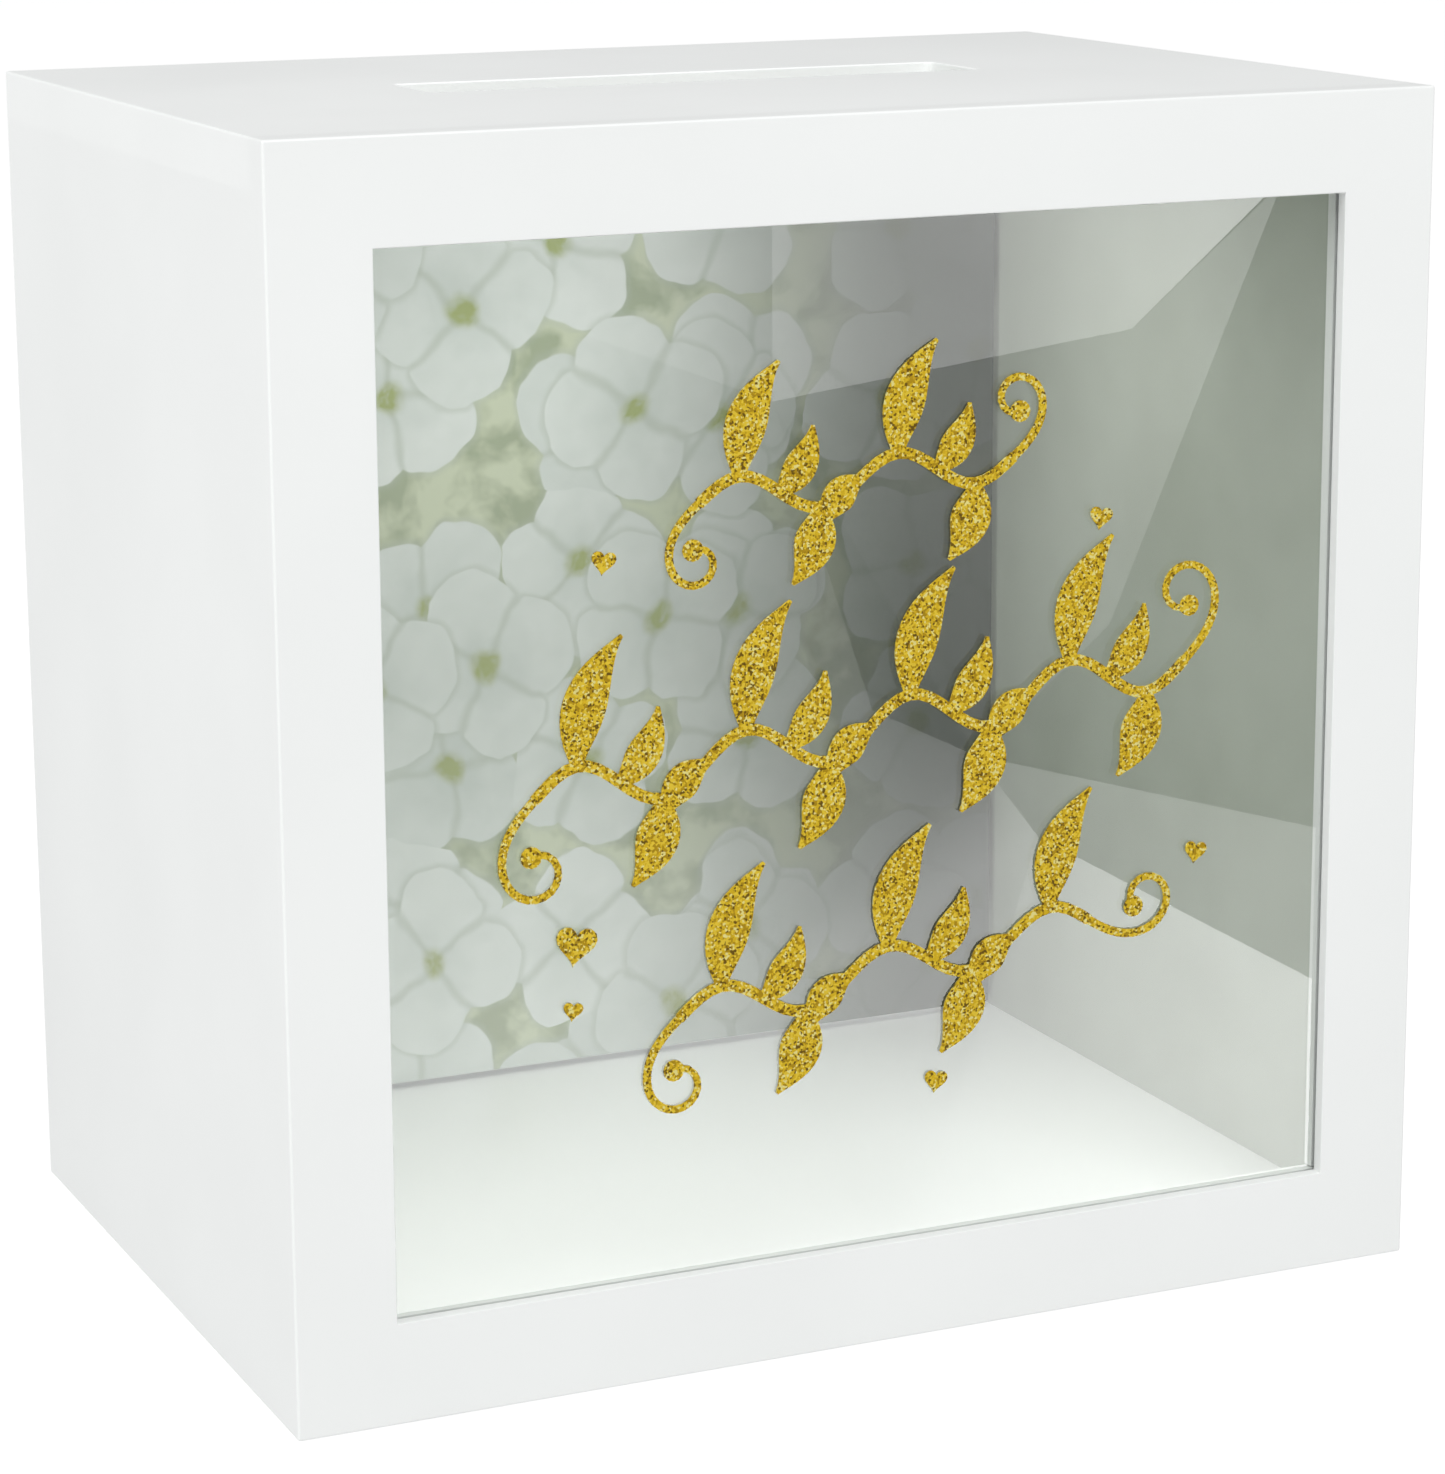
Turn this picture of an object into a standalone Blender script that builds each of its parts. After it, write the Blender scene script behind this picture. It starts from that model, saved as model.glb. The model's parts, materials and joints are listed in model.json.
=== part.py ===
# A wedding card box: a white lacquered MDF box with a glazed front frame, a posting slot in its
# top and a hinged back door. Metres, +Z up. The glazed front faces -Y and the door is at +Y.
import math

import bmesh
import bpy
from mathutils import Matrix, Vector
from mathutils.geometry import delaunay_2d_cdt

# Carcass
BOX_WIDTH = 0.300
BOX_HEIGHT = 0.300
BOX_DEPTH = 0.210
BOARD_THICK = 0.012
FRONT_THICK = 0.009
FRAME_BORDER = 0.025
FIT = 0.0003  # gap between pieces that touch

# Posting slot in the top board
SLOT_LENGTH = 0.150
SLOT_WIDTH = 0.028
SLOT_FROM_FRONT = 0.110

# Glazing: the pane lies against a thin lip and is held by beads
LIP_THICK = 0.003
REBATE_WIDTH = 0.005
GLASS_THICK = 0.002
BEAD_INSET = 0.0002  # how far a bead's inner edge stays behind the window's edge

# Door and the printed card on its inner face
DOOR_THICK = 0.006
DOOR_GAP = 0.0015
CARD_THICK = 0.0006
CARD_INSET = 0.0006

# Butt hinges, lying open on the back
HINGE_HEIGHT = 0.030
HINGE_FROM_END = 0.045  # door's end to the hinge's middle
LEAF_THICK = 0.001
LEAF_MARGIN = 0.0015  # leaf's edge to the board's outer face
KNUCKLES = 5
KNUCKLE_RADIUS = 0.0022
PIN_RADIUS = 0.001
PIN_HEAD_RADIUS = 0.0019
PIN_HEAD_THICK = 0.0008

# Countersunk screws
SCREW_RADIUS = 0.00125
SCREW_HEAD_RADIUS = 0.0022
SCREW_SPREAD = 0.016  # between a leaf's two screws
HINGE_SCREW_SKIN = 0.0018  # door left under a hinge screw's tip
CATCH_SCREW_LENGTH = 0.010
HOLE_DEEPER = 0.0004  # a blind hole goes on past the screw's tip

# Magnetic catch on the side board
CATCH_HEIGHT = 0.046
CATCH_DEPTH = 0.014
CATCH_FLANGE = 0.0025
HOUSING_HEIGHT = 0.026
HOUSING_WIDTH = 0.012
MAGNET_WIDTH = 0.005
MAGNET_HEIGHT = 0.020
MAGNET_SETBACK = 0.002  # behind the pole plates' ends
POLE_THICK = 0.001
POLE_PROUD = 0.001
POCKET_FLOOR = 0.003
STRIKE_THICK = 0.001
STRIKE_HEIGHT = 0.030

# Knob and its screw through the door
KNOB_RADIUS = 0.009
KNOB_LENGTH = 0.016
KNOB_BASE_RADIUS = 0.0065
KNOB_NECK_RADIUS = 0.0042
KNOB_FROM_EDGE = 0.026  # door's free edge to the knob's axis
KNOB_SCREW_RADIUS = 0.002
KNOB_SCREW_BITE = 0.008
KNOB_SCREW_HEAD_RADIUS = 0.004
KNOB_SCREW_HEAD = 0.0024

# Dowels in the four corner joints
DOWEL_RADIUS = 0.003
DOWEL_FROM_END = 0.045  # board's front or rear end to the dowel's axis
DOWEL_IN_SIDE = 0.015
DOWEL_SKIN = 0.003  # top or bottom board left over a dowel's end

# Felt pads
PAD_RADIUS = 0.008
PAD_THICK = 0.0015
PAD_INSET = 0.020  # outer faces to the pad's middle

# Gold film ornament on the glass
FILM_THICK = 0.0004
STEM_WIDTH = 0.0028
ORNAMENT_WINDOW = 0.250  # window that the ornament's sizes are drawn for

# Places that follow from the sizes
BASE_Z = PAD_THICK + FIT
TOP_Z = BASE_Z + BOX_HEIGHT
INNER_LOW = BASE_Z + BOARD_THICK
INNER_HIGH = TOP_Z - BOARD_THICK
MIDDLE_Z = (INNER_LOW + INNER_HIGH) / 2
HALF_WIDTH = BOX_WIDTH / 2
INNER_X = HALF_WIDTH - BOARD_THICK
FRONT_Y = -(BOX_DEPTH + FIT + KNOB_LENGTH) / 2  # the origin is under the middle, knob included
REAR_Y = FRONT_Y + BOX_DEPTH
CARCASS_Y = FRONT_Y + FRONT_THICK + FIT
WINDOW_HALF_X = HALF_WIDTH - FRAME_BORDER
WINDOW_LOW = BASE_Z + FRAME_BORDER
WINDOW_HIGH = TOP_Z - FRAME_BORDER
GLASS_Y = FRONT_Y + LIP_THICK + FIT
BEAD_Y = GLASS_Y + GLASS_THICK + FIT
DOOR_HALF_X = INNER_X - DOOR_GAP
DOOR_LOW = INNER_LOW + DOOR_GAP
DOOR_HIGH = INNER_HIGH - DOOR_GAP
DOOR_INNER_Y = REAR_Y - DOOR_THICK
CARD_Y = DOOR_INNER_Y - FIT - CARD_THICK
STRIKE_Y = CARD_Y - FIT - STRIKE_THICK
KNUCKLE_HOLE_RADIUS = PIN_RADIUS + FIT
HINGE_X = INNER_X - DOOR_GAP / 2
HINGE_Y = REAR_Y + FIT + KNUCKLE_RADIUS
LEAF_Y = REAR_Y + FIT
HINGE_HEIGHTS = {"upper": DOOR_HIGH - HINGE_FROM_END, "lower": DOOR_LOW + HINGE_FROM_END}
LEAF_REACH = DOOR_GAP / 2 + BOARD_THICK - LEAF_MARGIN
SCREW_LINE = DOOR_GAP / 2 + BOARD_THICK / 2
HINGE_SCREW_LENGTH = LEAF_THICK + FIT + DOOR_THICK - HINGE_SCREW_SKIN
POCKET_WIDTH = MAGNET_WIDTH + 2 * POLE_THICK + 4 * FIT
CATCH_X = -INNER_X + FIT
POCKET_X = CATCH_X + (HOUSING_WIDTH - POCKET_WIDTH) / 2 + CATCH_FLANGE / 2
POLE_END_Y = STRIKE_Y - FIT
CATCH_FACE_Y = POLE_END_Y - POLE_PROUD
STRIKE_X = POCKET_X + POCKET_WIDTH / 2
KNOB_X = -DOOR_HALF_X + KNOB_FROM_EDGE

ROUND = 20  # sides of a small round piece
ROD_TURN = math.radians(7)  # the small holes are all turned by this

for old in list(bpy.data.objects):
    bpy.data.objects.remove(old)
parts = bpy.data.collections.new("wedding_card_box")
cutters = bpy.data.collections.new("cutters")
cutters.hide_render = True
for group in (parts, cutters):
    bpy.context.scene.collection.children.link(group)


def finish(name, colour, roughness, metallic=0.0):
    material = bpy.data.materials.new(name)
    material.use_nodes = True
    shader = material.node_tree.nodes["Principled BSDF"]
    shader.inputs["Base Color"].default_value = (*colour, 1.0)
    shader.inputs["Roughness"].default_value = roughness
    shader.inputs["Metallic"].default_value = metallic
    material.diffuse_color = (*colour, 1.0)
    return material


def add_piece(name, bm, material, place=(0, 0, 0)):
    """A named part whose mesh is given round its own place."""
    mesh = bpy.data.meshes.new(name)
    bm.to_mesh(mesh)
    bm.free()
    piece = bpy.data.objects.new(name, mesh)
    piece.location = place
    piece.data.materials.append(finish(name, *material))
    parts.objects.link(piece)
    return piece


def block(low, high):
    """A rectangular solid between two corners, and its middle."""
    low, high = Vector(low), Vector(high)
    bm = bmesh.new()
    bmesh.ops.create_cube(bm, size=1.0, matrix=Matrix.Diagonal((high - low).to_4d()))
    return bm, (low + high) / 2


def add_block(name, low, high, material):
    bm, middle = block(low, high)
    return add_piece(name, bm, material, middle)


def rod(radius, length, direction, tip_radius=None):
    """A round rod or cone round its middle, with its second end towards direction."""
    bm = bmesh.new()
    # turned on its axis, so that the corners of neighbouring holes never line up
    turn = Vector(direction).to_track_quat("Z", "Y").to_matrix().to_4x4() @ Matrix.Rotation(ROD_TURN, 4, "Z")
    end = radius if tip_radius is None else tip_radius
    bmesh.ops.create_cone(
        bm, cap_ends=True, segments=ROUND, radius1=radius, radius2=end, depth=length, matrix=turn
    )
    return bm


def as_cutter(piece, bm, place, operation="DIFFERENCE"):
    """Cuts a shape out of a piece, or joins it on, with a Boolean."""
    mesh = bpy.data.meshes.new(piece.name + "_cutter")
    bm.to_mesh(mesh)
    bm.free()
    cutter = bpy.data.objects.new(mesh.name, mesh)
    cutter.location = place
    cutter.hide_render = True
    cutter.display_type = "WIRE"
    cutters.objects.link(cutter)
    boolean = piece.modifiers.new(operation.title(), "BOOLEAN")
    boolean.operation = operation
    boolean.solver = "EXACT"
    boolean.object = cutter


def cut_block(piece, low, high):
    as_cutter(piece, *block(low, high))


def cut_hole(piece, start, direction, depth, radius):
    """A round hole that enters at start; its cutter stands out of the surface it enters."""
    direction = Vector(direction)
    middle = Vector(start) + direction * (depth - FIT) / 2
    as_cutter(piece, rod(radius, depth + FIT, direction), middle)


def turned(name, profile, place, direction, material):
    """A solid turned from (radius, height) points, top to bottom, with height along direction."""
    bm = bmesh.new()
    points = [bm.verts.new((radius, 0, height)) for radius, height in profile]
    for first, second in zip(points, points[1:]):
        bm.edges.new((first, second))
    piece = add_piece(name, bm, material, place)
    piece.rotation_mode = "QUATERNION"
    piece.rotation_quaternion = Vector(direction).to_track_quat("Z", "Y")
    screw = piece.modifiers.new("Turn", "SCREW")
    screw.steps = screw.render_steps = ROUND
    screw.use_merge_vertices = True
    screw.merge_threshold = 0.00001
    return piece


def countersunk_screw(name, head_top, direction, length, material):
    """A countersunk screw that is driven along direction, its head's top at head_top."""
    head_depth = SCREW_HEAD_RADIUS - SCREW_RADIUS
    profile = [
        (0, 0),
        (SCREW_HEAD_RADIUS, 0),
        (SCREW_RADIUS, -head_depth),
        (SCREW_RADIUS, -(length - SCREW_RADIUS)),
        (0, -length),
    ]
    return turned(name, profile, head_top, -Vector(direction), material)


def cut_screw_seat(piece, head_top, direction, through):
    """A countersunk hole right through a plate of this thickness."""
    direction = Vector(direction)
    head_depth = SCREW_HEAD_RADIUS - SCREW_RADIUS
    cut_hole(piece, head_top, direction, through + FIT, SCREW_RADIUS + FIT)
    cone = rod(SCREW_HEAD_RADIUS + 2 * FIT, head_depth + FIT, direction, SCREW_RADIUS + FIT)
    as_cutter(piece, cone, Vector(head_top) + direction * head_depth / 2)


def cut_screw_hole(piece, head_top, direction, surface, length):
    """The blind hole of a screw, in a board that starts this far below the screw's head."""
    start = Vector(head_top) + Vector(direction) * surface
    cut_hole(piece, start, direction, length - surface + HOLE_DEEPER, SCREW_RADIUS + FIT)


# Colours are linear values
LACQUER = ((0.86, 0.87, 0.87), 0.35)
GLASS = ((0.62, 0.72, 0.68), 0.03)
PRINTED_CARD = ((0.52, 0.58, 0.48), 0.6)
GOLD_FILM = ((0.70, 0.46, 0.06), 0.35, 0.8)
NICKEL = ((0.60, 0.58, 0.54), 0.3, 1.0)
MAGNET = ((0.06, 0.06, 0.065), 0.6)
CATCH_PLASTIC = ((0.80, 0.80, 0.78), 0.45)
BEECH = ((0.56, 0.38, 0.22), 0.6)
FELT = ((0.70, 0.69, 0.66), 0.95)


def make_carcass():
    """Front frame, top, bottom and sides, butt-jointed on dowels."""
    frame = add_block(
        "front_frame",
        (-HALF_WIDTH, FRONT_Y, BASE_Z),
        (HALF_WIDTH, FRONT_Y + FRONT_THICK, TOP_Z),
        LACQUER,
    )
    cut_block(
        frame,
        (-WINDOW_HALF_X, FRONT_Y - FIT, WINDOW_LOW),
        (WINDOW_HALF_X, FRONT_Y + FRONT_THICK + FIT, WINDOW_HIGH),
    )
    cut_block(
        frame,
        (-WINDOW_HALF_X - REBATE_WIDTH, FRONT_Y + LIP_THICK, WINDOW_LOW - REBATE_WIDTH),
        (WINDOW_HALF_X + REBATE_WIDTH, FRONT_Y + FRONT_THICK + FIT, WINDOW_HIGH + REBATE_WIDTH),
    )
    boards = {}
    for name, low_z, high_z in (
        ("top_board", INNER_HIGH, TOP_Z),
        ("bottom_board", BASE_Z, INNER_LOW),
    ):
        low, high = (-HALF_WIDTH, CARCASS_Y, low_z), (HALF_WIDTH, REAR_Y, high_z)
        boards[name] = add_block(name, low, high, LACQUER)
    for name, low_x in (("left_side", -HALF_WIDTH), ("right_side", INNER_X)):
        low = (low_x, CARCASS_Y, INNER_LOW + FIT)
        high = (low_x + BOARD_THICK, REAR_Y, INNER_HIGH - FIT)
        boards[name] = add_block(name, low, high, LACQUER)
    slot_y = FRONT_Y + SLOT_FROM_FRONT
    cut_block(
        boards["top_board"],
        (-SLOT_LENGTH / 2, slot_y - SLOT_WIDTH / 2, INNER_HIGH - FIT),
        (SLOT_LENGTH / 2, slot_y + SLOT_WIDTH / 2, TOP_Z + FIT),
    )
    make_dowels(boards)
    return boards


def make_dowels(boards):
    """Two dowels in each corner joint, half in a side's end and half in the top or bottom."""
    in_board = BOARD_THICK - DOWEL_SKIN
    for side, x in (("left", -HALF_WIDTH + BOARD_THICK / 2), ("right", HALF_WIDTH - BOARD_THICK / 2)):
        for level, seam, away in (("top", INNER_HIGH, 1), ("bottom", INNER_LOW, -1)):
            for end, y in (("front", CARCASS_Y + DOWEL_FROM_END), ("rear", REAR_Y - DOWEL_FROM_END)):
                board, panel = boards[level + "_board"], boards[side + "_side"]
                cut_hole(board, (x, y, seam), (0, 0, away), in_board, DOWEL_RADIUS + FIT)
                side_end = (x, y, seam - away * FIT)
                cut_hole(panel, side_end, (0, 0, -away), DOWEL_IN_SIDE, DOWEL_RADIUS + FIT)
                length = in_board + DOWEL_IN_SIDE - FIT
                middle = seam + away * (in_board - FIT - length / 2)
                dowel = rod(DOWEL_RADIUS, length, (0, 0, 1))
                add_piece(f"dowel_{side}_{level}_{end}", dowel, BEECH, (x, y, middle))


def make_glazing():
    """The pane in the frame's rebate and the four beads that hold it."""
    x = WINDOW_HALF_X + REBATE_WIDTH - FIT
    low, high = WINDOW_LOW - REBATE_WIDTH + FIT, WINDOW_HIGH + REBATE_WIDTH - FIT
    add_block("glass_pane", (-x, GLASS_Y, low), (x, GLASS_Y + GLASS_THICK, high), GLASS)
    near, far = BEAD_Y, FRONT_Y + FRONT_THICK
    inner_x = WINDOW_HALF_X + BEAD_INSET
    inner_low, inner_high = WINDOW_LOW - BEAD_INSET, WINDOW_HIGH + BEAD_INSET
    add_block("glass_bead_bottom", (-x, near, low), (x, far, inner_low), LACQUER)
    add_block("glass_bead_top", (-x, near, inner_high), (x, far, high), LACQUER)
    between = (inner_low + FIT, inner_high - FIT)
    add_block("glass_bead_left", (-x, near, between[0]), (-inner_x, far, between[1]), LACQUER)
    add_block("glass_bead_right", (inner_x, near, between[0]), (x, far, between[1]), LACQUER)


def make_hinge(level, middle_z, side_board, door, pivot):
    """One butt hinge: a leaf on the side board, a leaf on the door, a pin and four screws."""
    step = HINGE_HEIGHT / KNUCKLES
    bottom = middle_z - HINGE_HEIGHT / 2
    barrel_length = step - FIT
    leaves = {}
    for kind, towards, own, others in (
        ("frame", 1, range(0, KNUCKLES, 2), range(1, KNUCKLES, 2)),
        ("door", -1, range(1, KNUCKLES, 2), range(0, KNUCKLES, 2)),
    ):
        ends = sorted((HINGE_X, HINGE_X + towards * LEAF_REACH))
        leaf = add_block(
            f"hinge_{level}_{kind}_leaf",
            (ends[0], LEAF_Y, bottom + FIT / 2),
            (ends[1], LEAF_Y + LEAF_THICK, bottom + HINGE_HEIGHT - FIT / 2),
            NICKEL,
        )
        for knuckle in others:
            near_axis = sorted((HINGE_X - towards * FIT, HINGE_X + towards * (KNUCKLE_RADIUS + FIT)))
            low_z = bottom + knuckle * step
            cut_block(
                leaf,
                (near_axis[0], LEAF_Y - FIT, low_z - FIT / 2),
                (near_axis[1], LEAF_Y + LEAF_THICK + FIT, low_z + step + FIT / 2),
            )
        for knuckle in own:
            place = (HINGE_X, HINGE_Y, bottom + (knuckle + 0.5) * step)
            as_cutter(leaf, rod(KNUCKLE_RADIUS, barrel_length, (0, 0, 1)), place, "UNION")
        as_cutter(
            leaf, rod(KNUCKLE_HOLE_RADIUS, HINGE_HEIGHT + 2 * FIT, (0, 0, 1)), (HINGE_X, HINGE_Y, middle_z)
        )
        leaves[kind] = leaf
        for end, offset in (("high", SCREW_SPREAD / 2), ("low", -SCREW_SPREAD / 2)):
            head_top = (HINGE_X + towards * SCREW_LINE, LEAF_Y + LEAF_THICK, middle_z + offset)
            cut_screw_seat(leaf, head_top, (0, -1, 0), LEAF_THICK)
            board = side_board if kind == "frame" else door
            cut_screw_hole(board, head_top, (0, -1, 0), LEAF_THICK + FIT, HINGE_SCREW_LENGTH)
            screw = countersunk_screw(
                f"hinge_{level}_{kind}_screw_{end}", head_top, (0, -1, 0), HINGE_SCREW_LENGTH, NICKEL
            )
            if kind == "door":
                hang(screw, pivot)
    hang(leaves["door"], pivot)
    half = HINGE_HEIGHT / 2 + FIT
    profile = [
        (0, half + PIN_HEAD_THICK),
        (PIN_HEAD_RADIUS, half + PIN_HEAD_THICK),
        (PIN_HEAD_RADIUS, half),
        (PIN_RADIUS, half),
        (PIN_RADIUS, -half),
        (PIN_HEAD_RADIUS, -half),
        (PIN_HEAD_RADIUS, -half - PIN_HEAD_THICK),
        (0, -half - PIN_HEAD_THICK),
    ]
    turned(f"hinge_{level}_pin", profile, (HINGE_X, HINGE_Y, middle_z), (0, 0, 1), NICKEL)


def hang(piece, pivot):
    """Parents a piece to the door's pivot without moving it."""
    piece.parent = pivot
    piece.location -= pivot.location


def make_door(pivot):
    """The back door, the printed card on its inner face and the knob with its screw."""
    door = add_block(
        "back_door", (-DOOR_HALF_X, DOOR_INNER_Y, DOOR_LOW), (DOOR_HALF_X, REAR_Y, DOOR_HIGH), LACQUER
    )
    card = add_block(
        "backing_print",
        (-DOOR_HALF_X + CARD_INSET, CARD_Y, DOOR_LOW + CARD_INSET),
        (DOOR_HALF_X - CARD_INSET, CARD_Y + CARD_THICK, DOOR_HIGH - CARD_INSET),
        PRINTED_CARD,
    )
    head_y = CARD_Y - FIT
    knob_y = REAR_Y + FIT
    for piece, surface, thick in ((card, CARD_Y, CARD_THICK), (door, DOOR_INNER_Y, DOOR_THICK)):
        start = (KNOB_X, surface, MIDDLE_Z)
        cut_hole(piece, start, (0, 1, 0), thick + FIT, KNOB_SCREW_RADIUS + FIT)
    tip = knob_y + KNOB_SCREW_BITE - head_y
    screw_profile = [
        (0, KNOB_SCREW_HEAD),
        (KNOB_SCREW_HEAD_RADIUS * 0.6, KNOB_SCREW_HEAD),
        (KNOB_SCREW_HEAD_RADIUS, KNOB_SCREW_HEAD * 0.55),
        (KNOB_SCREW_HEAD_RADIUS, 0),
        (KNOB_SCREW_RADIUS, 0),
        (KNOB_SCREW_RADIUS, -tip),
        (0, -tip),
    ]
    knob_screw = turned("knob_screw", screw_profile, (KNOB_X, head_y, MIDDLE_Z), (0, -1, 0), NICKEL)
    bore_radius, bore_end = KNOB_SCREW_RADIUS + FIT, KNOB_SCREW_BITE + HOLE_DEEPER
    dome = [
        (KNOB_RADIUS * math.cos(a), KNOB_LENGTH - KNOB_RADIUS * 0.6 * (1 - math.sin(a)))
        for a in (math.radians(d) for d in (72, 50, 25, 0, -25, -50))
    ]
    knob_profile = [
        (0, KNOB_LENGTH),
        *dome,
        (KNOB_NECK_RADIUS, KNOB_LENGTH * 0.3),
        (KNOB_BASE_RADIUS, KNOB_LENGTH * 0.12),
        (KNOB_BASE_RADIUS, 0),
        (bore_radius, 0),
        (bore_radius, bore_end),
        (0, bore_end),
    ]
    knob = turned("door_knob", knob_profile, (KNOB_X, knob_y, MIDDLE_Z), (0, 1, 0), LACQUER)
    for piece in (door, card, knob_screw, knob):
        hang(piece, pivot)
    return door, card


def make_catch(side_board, door, card, pivot):
    """A magnetic catch on the side board, and the steel strike plate that it holds."""
    back_y = CATCH_FACE_Y - CATCH_DEPTH
    body = add_block(
        "catch_body",
        (CATCH_X, back_y, MIDDLE_Z - CATCH_HEIGHT / 2),
        (CATCH_X + CATCH_FLANGE, CATCH_FACE_Y, MIDDLE_Z + CATCH_HEIGHT / 2),
        CATCH_PLASTIC,
    )
    housing_low = (CATCH_X, back_y, MIDDLE_Z - HOUSING_HEIGHT / 2)
    housing_high = (CATCH_X + HOUSING_WIDTH, CATCH_FACE_Y, MIDDLE_Z + HOUSING_HEIGHT / 2)
    as_cutter(body, *block(housing_low, housing_high), "UNION")
    magnet_low, magnet_high = MIDDLE_Z - MAGNET_HEIGHT / 2, MIDDLE_Z + MAGNET_HEIGHT / 2
    pocket_y = back_y + POCKET_FLOOR
    cut_block(
        body,
        (POCKET_X, pocket_y, magnet_low - FIT),
        (POCKET_X + POCKET_WIDTH, CATCH_FACE_Y + FIT, magnet_high + FIT),
    )
    x = POCKET_X + FIT
    for name, width, far_y, material in (
        ("catch_pole_outer", POLE_THICK, POLE_END_Y, NICKEL),
        ("catch_magnet", MAGNET_WIDTH, POLE_END_Y - MAGNET_SETBACK, MAGNET),
        ("catch_pole_inner", POLE_THICK, POLE_END_Y, NICKEL),
    ):
        add_block(name, (x, pocket_y + FIT, magnet_low), (x + width, far_y, magnet_high), material)
        x += width + FIT
    screw_y = (back_y + CATCH_FACE_Y) / 2
    spread = (CATCH_HEIGHT + HOUSING_HEIGHT) / 4
    for end, offset in (("upper", spread), ("lower", -spread)):
        head_top = (CATCH_X + CATCH_FLANGE, screw_y, MIDDLE_Z + offset)
        cut_screw_seat(body, head_top, (-1, 0, 0), CATCH_FLANGE)
        cut_screw_hole(side_board, head_top, (-1, 0, 0), CATCH_FLANGE + FIT, CATCH_SCREW_LENGTH)
        countersunk_screw(f"catch_screw_{end}", head_top, (-1, 0, 0), CATCH_SCREW_LENGTH, NICKEL)
    half_width = POCKET_WIDTH / 2 + POLE_THICK
    strike = add_block(
        "strike_plate",
        (STRIKE_X - half_width, STRIKE_Y, MIDDLE_Z - STRIKE_HEIGHT / 2),
        (STRIKE_X + half_width, STRIKE_Y + STRIKE_THICK, MIDDLE_Z + STRIKE_HEIGHT / 2),
        NICKEL,
    )
    head_top = (STRIKE_X, STRIKE_Y, MIDDLE_Z)
    length = DOOR_INNER_Y - STRIKE_Y + DOOR_THICK - HINGE_SCREW_SKIN
    cut_screw_seat(strike, head_top, (0, 1, 0), STRIKE_THICK)
    cut_hole(card, (STRIKE_X, CARD_Y, MIDDLE_Z), (0, 1, 0), CARD_THICK + FIT, SCREW_RADIUS + FIT)
    cut_screw_hole(door, head_top, (0, 1, 0), DOOR_INNER_Y - STRIKE_Y, length)
    screw = countersunk_screw("strike_screw", head_top, (0, 1, 0), length, NICKEL)
    hang(strike, pivot)
    hang(screw, pivot)


def make_pads():
    for side, x in (("left", -HALF_WIDTH + PAD_INSET), ("right", HALF_WIDTH - PAD_INSET)):
        for end, y in (("front", FRONT_Y + PAD_INSET), ("rear", REAR_Y - PAD_INSET)):
            pad = rod(PAD_RADIUS, PAD_THICK, (0, 0, 1))
            add_piece(f"felt_pad_{end}_{side}", pad, FELT, (x, y, PAD_THICK / 2))


def ribbon(points, widths):
    """The closed outline of a flat stroke of changing width along a centre line."""
    left, right = [], []
    for i, (point, width) in enumerate(zip(points, widths)):
        along = (points[min(i + 1, len(points) - 1)] - points[max(i - 1, 0)]).normalized()
        across = Vector((-along.y, along.x)) * width / 2
        left.append(point + across)
        right.append(point - across)
    return left + right[::-1]


def curved_line(start, heading, length, steps, bend):
    """Points along a line that leaves start at heading; bend gives its turn at each share."""
    points = [Vector(start)]
    for i in range(steps):
        angle = heading + bend((i + 0.5) / steps)
        points.append(points[-1] + Vector((math.cos(angle), math.sin(angle))) * length / steps)
    return points


def leaf(base, heading, length, width, turn, steps=14):
    """A leaf that swells from the stem's width and ends in a point."""
    tip = STEM_WIDTH * 0.3
    points = curved_line(base, heading, length, steps, lambda t: turn * t)
    widths = [
        tip + (STEM_WIDTH - tip) * (1 - t) + (width - STEM_WIDTH) * math.sin(math.pi * t**0.85) ** 1.3
        for t in (i / steps for i in range(steps + 1))
    ]
    return ribbon(points, widths)


def tendril(base, heading, size, steps=24):
    """A curl that tightens along its length, and the bead at its end."""
    points = curved_line(base, heading, size * 6.5, steps, lambda t: 0.4 * t + 5.6 * t * t)
    widths = [STEM_WIDTH * (0.8 - 0.2 * i / steps) for i in range(steps + 1)]
    end, sides = points[-1], 12
    turns = [2 * math.pi * i / sides for i in range(sides)]
    bead = [end + Vector((math.cos(a), math.sin(a))) * STEM_WIDTH * 0.95 for a in turns]
    return [ribbon(points, widths), bead]


def vine(first_x, last_x, middle_z, slope, wave, waves, leaf_length, leaf_width, curl):
    """The outlines of one rising vine: a waved stem, leaves on its crests and between, end curls."""
    steps = waves * 8
    middle_x = (first_x + last_x) / 2
    stem = []
    for i in range(steps + 1):
        x = first_x + (last_x - first_x) * i / steps
        lift = wave * math.sin(math.pi * waves * i / steps)
        stem.append(Vector((x, middle_z + slope * (x - middle_x) + lift)))
    outlines = [ribbon(stem, [STEM_WIDTH] * len(stem))]
    lean = math.radians(66)
    for k in range(waves):
        crest, crossing = stem[round((k + 0.5) * steps / waves)], stem[round((k + 1) * steps / waves)]
        upward = k % 2 == 0
        heading = lean if upward else lean + math.pi
        share = 1.0 if upward else 0.68
        outlines.append(leaf(crest, heading + 0.45, leaf_length * share, leaf_width, -0.8))
        if k < waves - 1:
            small = 0.62 if upward else 0.5
            swing = -0.55 if upward else -0.75
            outlines.append(leaf(crossing, heading + swing, leaf_length * small, leaf_width * 0.8, 0.9))
    for end, before in ((stem[-1], stem[-2]), (stem[0], stem[1])):
        outwards = end - before
        outlines.extend(tendril(end, math.atan2(outwards.y, outwards.x), curl))
    return outlines


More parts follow.
